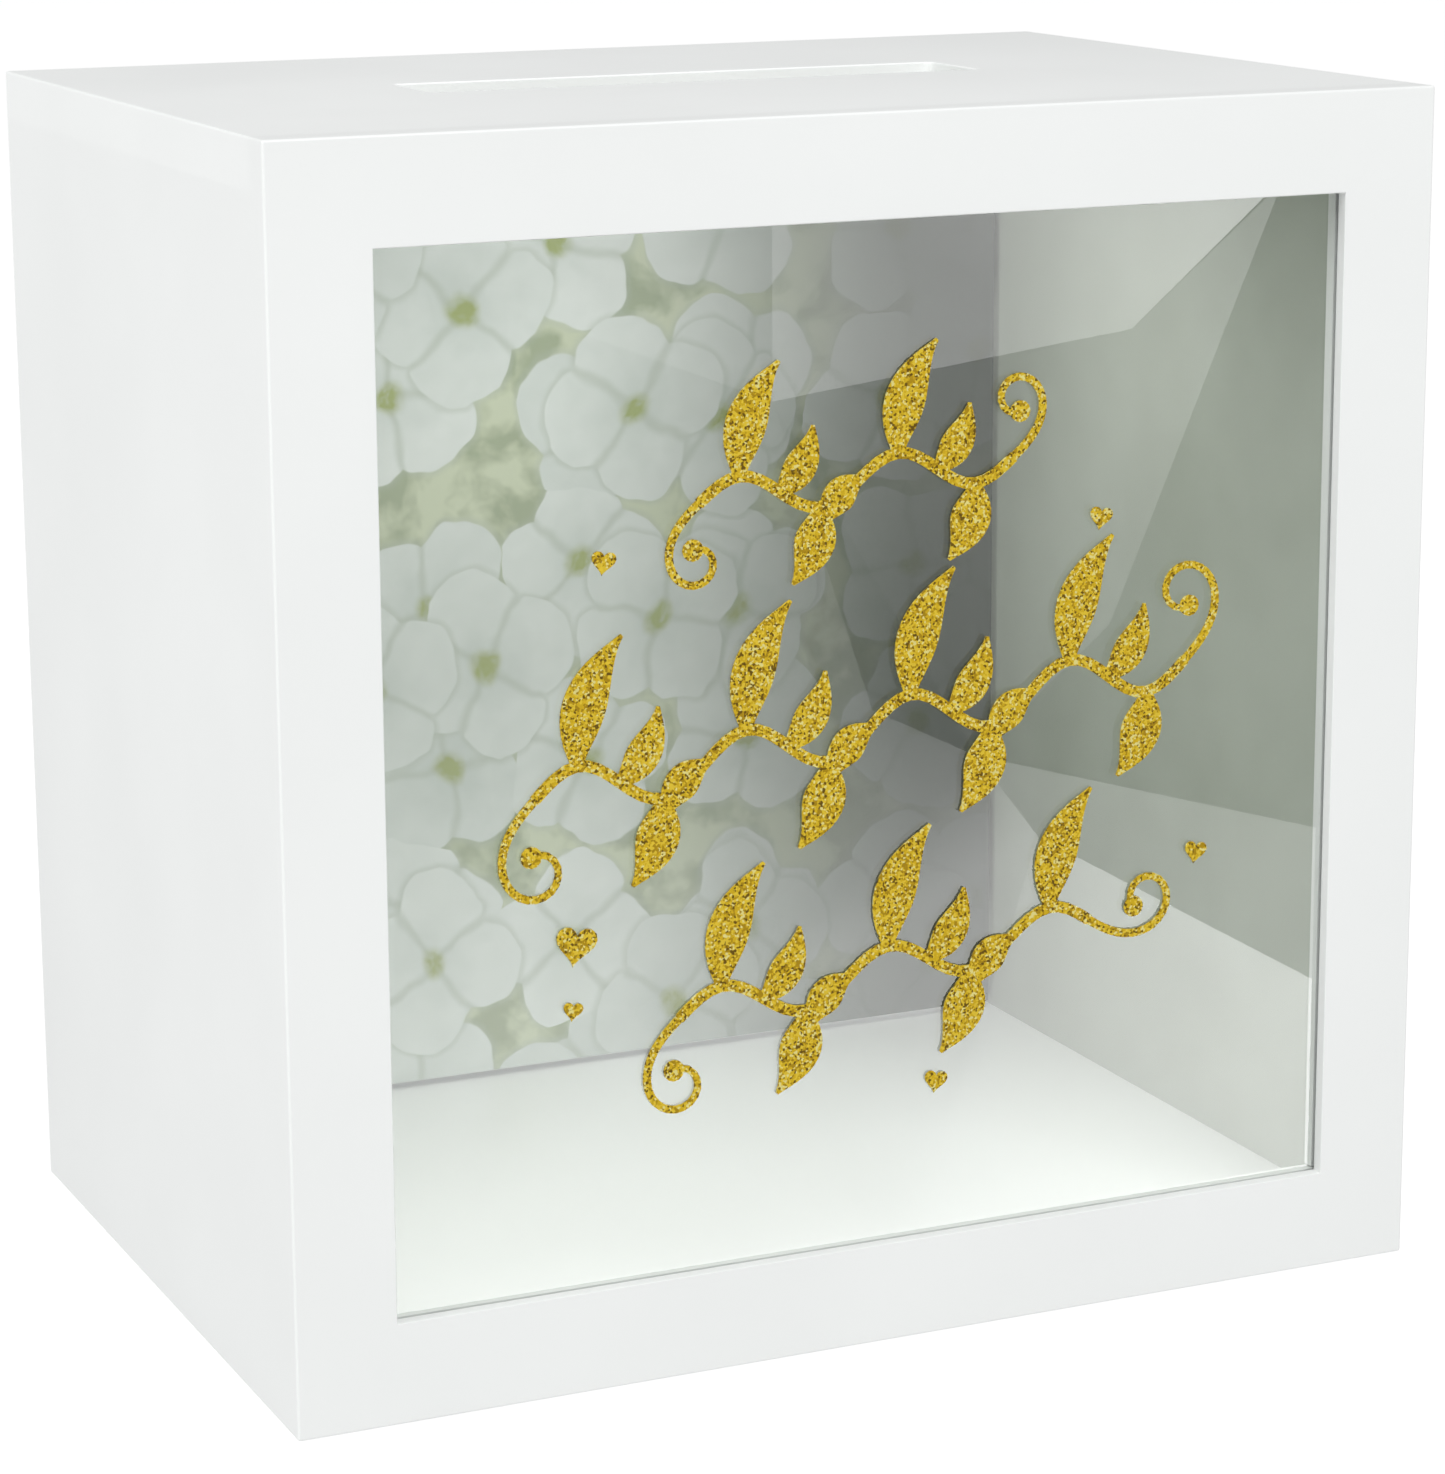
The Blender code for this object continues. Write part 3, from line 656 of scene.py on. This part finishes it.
def onWindowRim(edge, low, high):
    # true for an edge of the window's front rim, given two of its corners
    if any(abs(v.co.y - low.y) > touching for v in edge.verts):
        return False
    inX = any(all(abs(v.co.x - x) < touching for v in edge.verts) for x in (low.x, high.x))
    inZ = any(all(abs(v.co.z - z) < touching for v in edge.verts) for z in (low.z, high.z))
    if not (inX or inZ):
        return False
    withinX = all(low.x - touching < v.co.x < high.x + touching for v in edge.verts)
    withinZ = all(low.z - touching < v.co.z < high.z + touching for v in edge.verts)
    return withinX and withinZ


def makeFrontFrame():
    # one panel with a square window, and a rebate for the pane behind a thin lip
    settings = carcassSettings
    half = (frontHigh.x - frontLow.x) / 2
    lip = glassLow.y - seamGap - frontLow.y
    rebateEdge = glassLow.z - seamGap - frontLow.z  # width of the frame round the rebate
    points = [v.co for v in frame["nodes"]["front_frame"].data.vertices]
    face = [co for co in points if co.y - frontLow.y < touching]
    windowEdge = half - min(abs(co.x) for co in face)  # width of the frame round the window
    bm = bmesh.new()
    middle = Vector((0, frontLow.y, (frontLow.z + frontHigh.z) / 2))
    upright = Matrix.Translation(middle) @ Matrix.Rotation(math.pi / 2, 4, "X")
    bmesh.ops.create_grid(bm, x_segments=1, y_segments=1, size=half, matrix=upright)
    centre = bm.faces[:]
    even = {"use_boundary": True, "use_even_offset": True}
    ring = bmesh.ops.inset_region(bm, faces=centre, thickness=rebateEdge, **even)["faces"]
    bmesh.ops.inset_region(bm, faces=centre, thickness=windowEdge - rebateEdge, **even)
    bmesh.ops.delete(bm, geom=centre, context="FACES")
    ringMiddles = [face.calc_center_median() for face in ring]
    pushed = bmesh.ops.extrude_face_region(
        bm, geom=bm.faces[:] + bm.edges[:] + bm.verts[:], use_keep_orig=True
    )["geom"]
    bmesh.ops.translate(bm, verts=[v for v in pushed if isinstance(v, bmesh.types.BMVert)], vec=(0, lip, 0))
    backRing = [
        face
        for face in pushed
        if isinstance(face, bmesh.types.BMFace)
        and any((face.calc_center_median() - m - Vector((0, lip, 0))).length < 0.1 * mm for m in ringMiddles)
    ]
    deep = bmesh.ops.extrude_face_region(bm, geom=backRing)["geom"]
    bmesh.ops.delete(bm, geom=backRing, context="FACES")
    rest = topLow.y - frontLow.y - lip  # reaches back to the boards
    bmesh.ops.translate(bm, verts=[v for v in deep if isinstance(v, bmesh.types.BMVert)], vec=(0, rest, 0))
    bmesh.ops.recalc_face_normals(bm, faces=bm.faces)
    outer = [e for e in bm.edges if onBoxEdge(e, boxLow, boxHigh)]
    roundEdges(bm, outer, settings["outerRound"])
    inner = half - windowEdge
    low = Vector((-inner, frontLow.y, middle.z - inner))
    high = Vector((inner, frontLow.y, middle.z + inner))
    window = [e for e in bm.edges if onWindowRim(e, low, high)]
    roundEdges(bm, window, settings["windowRound"], 2)
    return addPiece("front_frame_lacquered", bm, lacquer, "case", ["front_frame"])


def makeBoards():
    # sides, top and bottom, grown by the frame's gaps so that the lacquered seams close
    settings = carcassSettings
    for node in ("left_side", "right_side", "top_board", "bottom_board"):
        low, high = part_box(node)
        if node.endswith("side"):
            low.z -= seamGap
            high.z += seamGap
        bm = blockBetween(low, high)
        if node == "top_board":
            cutSlot(bm, low, high)
        roundEdges(bm, [e for e in bm.edges if onBoxEdge(e, boxLow, boxHigh)], settings["outerRound"])
        inwards = {"left_side": (1, 0, 0), "right_side": (-1, 0, 0), "top_board": (0, 0, -1)}.get(node)
        board = addPiece(node + "_lacquered", bm, lacquer, "case", [node])
        # the inner faces take the darker wall colour: painted shade for the inside of the box
        if inwards:
            board.data.materials.append(shadedWall)
            for face in board.data.polygons:
                face.material_index = int(face.normal.dot(Vector(inwards)) > 0.99)


def cutSlot(bm, low, high):
    # a slot with rounded corners and a softened rim, right through the board
    settings = carcassSettings
    opening = next(o for o in frame["record"]["physics"]["openings"] if o["name"] == "card_slot")
    margin = settings["openingMargin"]
    slotLow = Vector(opening["box_m"][0]) - Vector((margin, margin, 0))
    slotHigh = Vector(opening["box_m"][1]) + Vector((margin, margin, 0))
    for axis in (0, 1):
        for place in (slotLow, slotHigh):
            normal = Vector((axis == 0, axis == 1, 0))
            bmesh.ops.bisect_plane(
                bm, geom=bm.verts[:] + bm.edges[:] + bm.faces[:], plane_co=place, plane_no=normal, dist=1e-6
            )
    inside = []
    for face in bm.faces:
        c = face.calc_center_median()
        flat = abs(face.normal.z) > 0.9
        if flat and slotLow.x < c.x < slotHigh.x and slotLow.y < c.y < slotHigh.y:
            inside.append(face)
    bmesh.ops.delete(bm, geom=inside, context="FACES")
    rims = [e for e in bm.edges if e.is_boundary]
    bmesh.ops.bridge_loops(bm, edges=rims)
    upright = [
        e
        for e in bm.edges
        if abs((e.verts[0].co - e.verts[1].co).normalized().z) > 0.9
        and slotLow.x - mm < e.verts[0].co.x < slotHigh.x + mm
        and slotLow.y - mm < e.verts[0].co.y < slotHigh.y + mm
    ]
    roundEdges(bm, upright, settings["slotCorner"], 5)
    bmesh.ops.recalc_face_normals(bm, faces=bm.faces)
    rim = []
    for e in bm.edges:
        if len(e.link_faces) != 2 or not e.is_manifold:
            continue
        normals = sorted(abs(f.normal.z) for f in e.link_faces)
        c = (e.verts[0].co + e.verts[1].co) / 2
        nearSlot = slotLow.x - mm < c.x < slotHigh.x + mm and slotLow.y - mm < c.y < slotHigh.y + mm
        if normals[0] < 0.1 and normals[1] > 0.9 and nearSlot:
            rim.append(e)
    roundEdges(bm, rim, settings["slotRound"], 3)


def makeDoorAndBeads():
    settings = carcassSettings
    bm = blockBetween(doorLow, doorHigh)
    roundEdges(bm, bm.edges[:], settings["doorRound"])
    addPiece("back_door_lacquered", bm, lacquer, "door", ["back_door"])
    for side in ("bottom", "top", "left", "right"):
        node = "glass_bead_" + side
        low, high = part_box(node)
        bm = blockBetween(low, high)
        roundEdges(bm, bm.edges[:], settings["beadRound"], 2)
        addPiece(node + "_painted", bm, lacquer, "case", [node])


makeFrontFrame()
makeBoards()
makeDoorAndBeads()
print("carcass, door and beads made")


def cleanCopy(node):
    # a node's own shape with its loose triangles merged
    bm = bmesh.new()
    bm.from_mesh(frame["nodes"][node].data)
    bmesh.ops.remove_doubles(bm, verts=bm.verts, dist=0.001 * mm)
    bmesh.ops.dissolve_limit(bm, angle_limit=math.radians(0.5), verts=bm.verts, edges=bm.edges)
    return bm


filmSettings = {"rimRound": 0.12 * mm}


def makeOrnament():
    # the film's cut rim is slightly rounded where the glitter coat runs over it
    settings = filmSettings
    for node in frame["nodes"]:
        if not node.startswith("gold_"):
            continue
        bm = cleanCopy(node)
        low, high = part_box(node)
        rim = [
            e
            for e in bm.edges
            if all(abs(v.co.y - low.y) < touching for v in e.verts)
            and len(e.link_faces) == 2
            and e.calc_face_angle(0) > math.radians(60)
        ]
        roundEdges(bm, rim, settings["rimRound"], 2)
        addPiece(node + "_glitter", bm, glitter, "case", [node], 50)


makeOrnament()
print("gold ornament made")


knobSettings = {
    "steps": 48,
    "bulgeMiddle": 0.655,  # along the knob, in its lengths
    "bulgeHalf": 0.345,
    "bulgeDegrees": range(86, -60, -8),
    # the neck down to the collar on the door: radius in knob radii, and height in knob lengths
    "neck": [(0.48, 0.34), (0.46, 0.28), (0.50, 0.2), (0.62, 0.14), (0.72, 0.1), (0.72, 0.0)],
}


def makeKnob():
    # turned beech knob, lacquered like the box
    settings = knobSettings
    low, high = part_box("door_knob")
    radius = (high.x - low.x) / 2
    length = high.y - low.y
    axis = Vector(((low.x + high.x) / 2, low.y, (low.z + high.z) / 2))
    bulge = []
    for degrees in settings["bulgeDegrees"]:
        angle = math.radians(degrees)
        height = settings["bulgeMiddle"] + settings["bulgeHalf"] * math.sin(angle)
        bulge.append((radius * math.cos(angle), height))
    neck = [(radius * share, height) for share, height in settings["neck"]]
    profile = [(0, 1.0)] + bulge + neck + [(0, 0)]
    bm = bmesh.new()
    points = [bm.verts.new(axis + Vector((r, h * length, 0))) for r, h in profile]
    edges = [bm.edges.new(pair) for pair in zip(points, points[1:])]
    bmesh.ops.spin(
        bm,
        geom=points + edges,
        cent=axis,
        axis=(0, 1, 0),
        angle=2 * math.pi,
        steps=settings["steps"],
        use_merge=True,
    )
    bmesh.ops.remove_doubles(bm, verts=bm.verts, dist=0.001 * mm)
    bmesh.ops.recalc_face_normals(bm, faces=bm.faces)
    addPiece("door_knob_lacquered", bm, lacquer, "door", ["door_knob"], 40)


padSettings = {"sides": 48, "rimRound": 0.3 * mm}


def makePads():
    # felt discs with a softened rim
    settings = padSettings
    for end in ("front", "rear"):
        for side in ("left", "right"):
            node = f"felt_pad_{end}_{side}"
            low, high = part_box(node)
            radius = (high.x - low.x) / 2
            bm = bmesh.new()
            bmesh.ops.create_cone(
                bm,
                cap_ends=True,
                segments=settings["sides"],
                radius1=radius,
                radius2=radius,
                depth=high.z - low.z,
                matrix=Matrix.Translation((low + high) / 2),
            )
            rims = [e for e in bm.edges if e.calc_face_angle(0) > 1]
            roundEdges(bm, rims, settings["rimRound"], 2)
            addPiece(node + "_felt", bm, felt, "case", [node])


makeKnob()
makePads()
print("knob and pads made")


def giveMaterials():
    # nodes that stay as they are take their finish in their own slots
    finishes = {
        "glass_pane": paneGlass,
        "backing_print": hydrangeaPrint,
        "catch_body": catchPlastic,
        "catch_magnet": ferrite,
    }
    for name, node in frame["nodes"].items():
        if name.startswith("dowel_"):
            material = beech
        elif name in finishes:
            material = finishes[name]
        else:
            material = nickelPlate
        if node.hide_render:
            continue
        node.data.materials.clear()
        node.data.materials.append(material)


giveMaterials()
print("carried-over nodes finished")


cameraSettings = {
    "across": -0.9793,  # from the box's front left lower corner, in box heights
    "back": -2.9786,
    "up": 1.2974,
    "yaw": 24.235,
    "pitch": 12.567,
    "roll": -0.315,
    "lens": 105.48,
    "shift": -0.0407,
}


def makeCamera():
    settings = cameraSettings
    corner = Vector(boxLow)
    data = bpy.data.cameras.new("camera")
    data.lens = settings["lens"]
    data.shift_y = settings["shift"]
    data.clip_start, data.clip_end = 0.05, 50.0
    camera = bpy.data.objects.new("camera", data)
    camera.location = corner + Vector((settings["across"], settings["back"], settings["up"])) * boxHeight
    yaw, pitch, roll = (math.radians(settings[k]) for k in ("yaw", "pitch", "roll"))
    turn = Matrix.Rotation(-yaw, 3, "Z") @ Matrix.Rotation(math.pi / 2 - pitch, 3, "X")
    camera.rotation_euler = (turn @ Matrix.Rotation(roll, 3, "Z")).to_euler()
    bpy.context.scene.collection.objects.link(camera)
    bpy.context.scene.camera = camera
    return camera


floorSettings = {
    "halfWidth": 20.0,
    "colour": "#8E8E8E",
    "roughness": 0.7,
    "glow": 0.83,  # as it is seen
    "lightGiven": 0.66,  # as it lights the box
}


def makeFloor():
    # a plain pale light table: it glows evenly, so that little shadow falls on it
    settings = floorSettings
    bm = bmesh.new()
    bmesh.ops.create_grid(bm, x_segments=1, y_segments=1, size=settings["halfWidth"])
    mesh = bpy.data.meshes.new("floor")
    bm.to_mesh(mesh)
    bm.free()
    material, tree, shader = newMaterial("opal acrylic light table")
    shader.inputs["Base Color"].default_value = hexColour(settings["colour"])
    shader.inputs["Roughness"].default_value = settings["roughness"]
    shader.inputs["Emission Color"].default_value = (1, 1, 1, 1)
    # it looks as bright as the backdrop, and lights the box from below with less
    path = addNode(tree, "ShaderNodeLightPath")
    glow = addNode(
        tree,
        "ShaderNodeMapRange",
        None,
        {
            "Value": path.outputs["Is Camera Ray"],
            "To Min": settings["lightGiven"],
            "To Max": settings["glow"],
        },
    )
    tree.links.new(glow.outputs["Result"], shader.inputs["Emission Strength"])
    mesh.materials.append(material)
    floor = bpy.data.objects.new("floor", mesh)
    floor.visible_glossy = False  # the sheets of light reach below it
    bpy.context.scene.collection.objects.link(floor)


lightSettings = {
    # each soft box: the way it lies from the box, its distance and size in metres, and its watts
    "key": {"towards": (0.06, -0.61, 0.79), "distance": 2.4, "size": 1.3, "power": 23.6},
    "left": {"towards": (-0.83, -0.08, 0.55), "distance": 2.4, "size": 1.3, "power": 20.6},
    "lid": {"towards": (-0.2, -0.94, 0.28), "distance": 2.4, "size": 0.8, "power": 11.0},
    "inside": {"height": 0.94, "size": 0.16, "power": 0.17},  # height in box heights
    "room": 0.485,
    "backdrop": 0.97,
}


def addLamp(name, aim):
    # one square soft box; without a direction it hangs at the aim itself and shines down
    lamp = lightSettings[name]
    data = bpy.data.lights.new(name, "AREA")
    data.shape = "SQUARE"
    data.size = lamp["size"]
    data.energy = lamp["power"]
    light = bpy.data.objects.new(name, data)
    light.location = aim
    if "towards" in lamp:
        direction = Vector(lamp["towards"]).normalized()
        light.location = aim + direction * lamp["distance"]
        light.rotation_euler = direction.to_track_quat("Z", "Y").to_euler()
    bpy.context.scene.collection.objects.link(light)
    return light


def makeLights():
    settings = lightSettings
    aim = Vector((0, 0, boxHeight / 2))
    addLamp("key", aim)
    addLamp("left", aim)
    # a low front lamp for the lid alone, which lights the far wall of its slot
    lid = addLamp("lid", Vector((0, 0, boxHigh.z)))
    lidOnly = bpy.data.collections.new("lit by the lid lamp")
    lidOnly.objects.link(bpy.data.objects["top_board_lacquered"])
    lid.light_linking.receiver_collection = lidOnly
    # a faint glow under the lid, for the light that the white walls pass to and fro
    inside = addLamp("inside", Vector((0, 0, boxLow.z + boxHeight * settings["inside"]["height"])))
    inside.visible_camera = inside.visible_glossy = inside.visible_transmission = False
    world = bpy.data.worlds.new("soft room")
    world.use_nodes = True
    tree = world.node_tree
    room = tree.nodes["Background"]
    room.inputs["Color"].default_value = (1, 1, 1, 1)
    room.inputs["Strength"].default_value = settings["room"]
    # the backdrop is seen as white, and lights the box less
    path = addNode(tree, "ShaderNodeLightPath")
    backdrop = addNode(
        tree,
        "ShaderNodeBackground",
        None,
        {"Color": (1, 1, 1, 1), "Strength": settings["backdrop"]},
    )
    mix = addNode(
        tree,
        "ShaderNodeMixShader",
        None,
        {0: path.outputs["Is Camera Ray"], 1: room.outputs["Background"], 2: backdrop.outputs["Background"]},
    )
    tree.links.new(mix.outputs["Shader"], tree.nodes["World Output"].inputs["Surface"])
    bpy.context.scene.world = world
    bpy.context.scene.view_settings.view_transform = "Standard"


# light sheets that only the pane mirrors: each corner is where its mirror image falls on the pane,
# in millimetres from the window's middle, with the glow there
sheetSettings = {
    "standOff": 800 * mm,
    "sheets": [
        [(-98, 112, 0.2), (-27, 84, 1.3), (-27, 128, 1.4), (-98, 128, 0.2)],
        [(-27, 84, 2.9), (68, 95, 4.6), (68, 128, 5.8), (-27, 128, 3.1)],
        [(68, 95, 4.6), (108, 128, 6.4), (68, 128, 5.8)],
        [(-27, 84, 0.3), (27, -6, 0.3), (63, 23, 1.2), (109, 128, 2.2), (68, 95, 1.8)],
        [(27, -6, 1.8), (44, -28, 2.0), (128, -77, 2.2), (128, -36, 2.2)],
        [(44, -28, 6.2), (10, -128, 6.8), (128, -128, 7.6), (128, -77, 7.6)],
        [(-1, 8, 1.0), (27, -6, 1.8), (44, -28, 5.2), (10, -128, 6.6), (-40, -60, 4.0)],
        [(-40, -60, 4.0), (10, -128, 6.6), (-128, -128, 6.2), (-128, -70, 3.2)],
        [(-128, -70, 3.2), (-128, 0, 1.3), (-1, 8, 1.0), (-40, -60, 4.0)],
        [(-128, 0, 1.3), (-128, 120, 0.3), (-98, 112, 0.2), (-27, 84, 0.2), (-1, 8, 1.1)],
    ],
}


def makeLightSheets(camera):
    settings = sheetSettings
    paneFace = glassLow.y
    eye = camera.location
    share = settings["standOff"] / (paneFace - eye.y)
    material = bpy.data.materials.new("lit studio sheet")
    material.use_nodes = True
    tree = material.node_tree
    tree.nodes.remove(tree.nodes["Principled BSDF"])
    glow = addNode(tree, "ShaderNodeAttribute", {"attribute_name": "glow"})
    light = addNode(
        tree,
        "ShaderNodeEmission",
        None,
        {"Color": (1, 1, 1, 1), "Strength": glow.outputs["Fac"]},
    )
    clear = addNode(tree, "ShaderNodeBsdfTransparent")
    both = addNode(
        tree,
        "ShaderNodeAddShader",
        None,
        {0: light.outputs["Emission"], 1: clear.outputs["BSDF"]},
    )
    tree.links.new(both.outputs["Shader"], tree.nodes["Material Output"].inputs["Surface"])
    paneOnly = bpy.data.collections.new("mirrors the sheets")
    paneOnly.objects.link(frame["nodes"]["glass_pane"])
    for number, corners in enumerate(settings["sheets"]):
        bm = bmesh.new()
        glows = bm.verts.layers.float.new("glow")
        verts = []
        for across, up, strength in corners:
            onPane = Vector((paneMiddle.x + across * mm, paneFace, paneMiddle.z + up * mm))
            ray = onPane - eye
            vert = bm.verts.new(onPane + Vector((ray.x, -ray.y, ray.z)) * share)
            vert[glows] = strength
            verts.append(vert)
        bmesh.ops.contextual_create(bm, geom=verts)
        bmesh.ops.triangulate(bm, faces=bm.faces)
        mesh = bpy.data.meshes.new(f"light_sheet_{number}")
        bm.to_mesh(mesh)
        bm.free()
        mesh.materials.append(material)
        sheet = bpy.data.objects.new(mesh.name, mesh)
        sheet.visible_camera = sheet.visible_diffuse = sheet.visible_transmission = False
        sheet.visible_shadow = sheet.visible_volume_scatter = False
        sheet.light_linking.receiver_collection = paneOnly
        bpy.context.scene.collection.objects.link(sheet)


camera = makeCamera()
makeFloor()
makeLightSheets(camera)
makeLights()
print("studio made")
